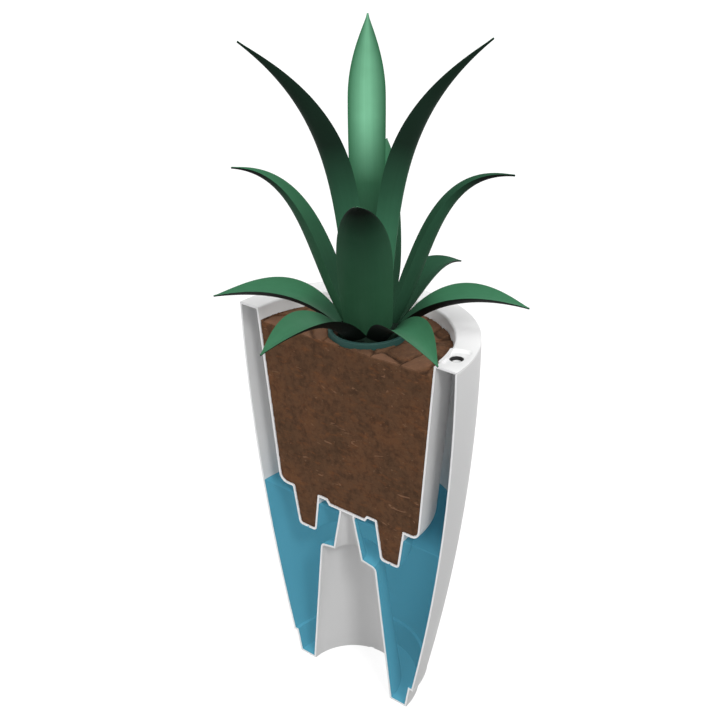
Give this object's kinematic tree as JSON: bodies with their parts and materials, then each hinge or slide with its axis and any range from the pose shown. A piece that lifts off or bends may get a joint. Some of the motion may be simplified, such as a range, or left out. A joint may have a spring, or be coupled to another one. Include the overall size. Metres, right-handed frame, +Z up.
{
  "type": "self-watering tall planter",
  "caption": "Tall tapered round self-watering planter cut through its axis, with water reservoir, hollow column, lift-out pot, fill plug, soil and a leafy plant.",
  "frame": {"origin": "middle of the foot ring's underside, straight behind the planter's axis; the axis stands 96.5 mm in front of it, at y = -0.0965", "axes": "+Z up along the planter's axis, +X to the right along the cut face, +Y away from the cut into the kept half"},
  "size_m": [0.4241, 0.3992, 1.0583],
  "materials": {
    "shell_plastic": "satin",
    "base_plastic": "satin",
    "pot_plastic": "satin",
    "plug_plastic": "satin",
    "grommet_rubber": "matte",
    "water": "gloss",
    "soil": "matte",
    "collar_plastic": "satin",
    "crown": "matte",
    "leaf": "satin"
  },
  "bodies": {
    "casing": {"base_pan": "base_plastic", "outer_shell": "shell_plastic", "water": "water"},
    "pot": {"inner_pot": "pot_plastic", "fill_grommet": "grommet_rubber", "soil": "soil", "collar": "collar_plastic", "crown": "crown", "leaf_upper_right": "leaf", "leaf_upper_back": "leaf", "leaf_upper_left": "leaf", "leaf_middle_right": "leaf", "leaf_middle_back": "leaf", "leaf_middle_left": "leaf", "leaf_middle_front": "leaf", "leaf_lower_right": "leaf", "leaf_lower_back": "leaf", "leaf_lower_left": "leaf", "leaf_lower_front_left": "leaf", "leaf_lower_front_right": "leaf"},
    "plug": {"fill_plug": "plug_plastic"}
  },
  "joints": [
    {"name": "pot_lift", "type": "slide", "parent": "casing", "child": "pot", "axis": [0, 0, 1], "range_m": [0, 0.4]},
    {"name": "plug_pull", "type": "slide", "parent": "pot", "child": "plug", "axis": [0, 0, 1], "range_m": [0, 0.05]}
  ]
}
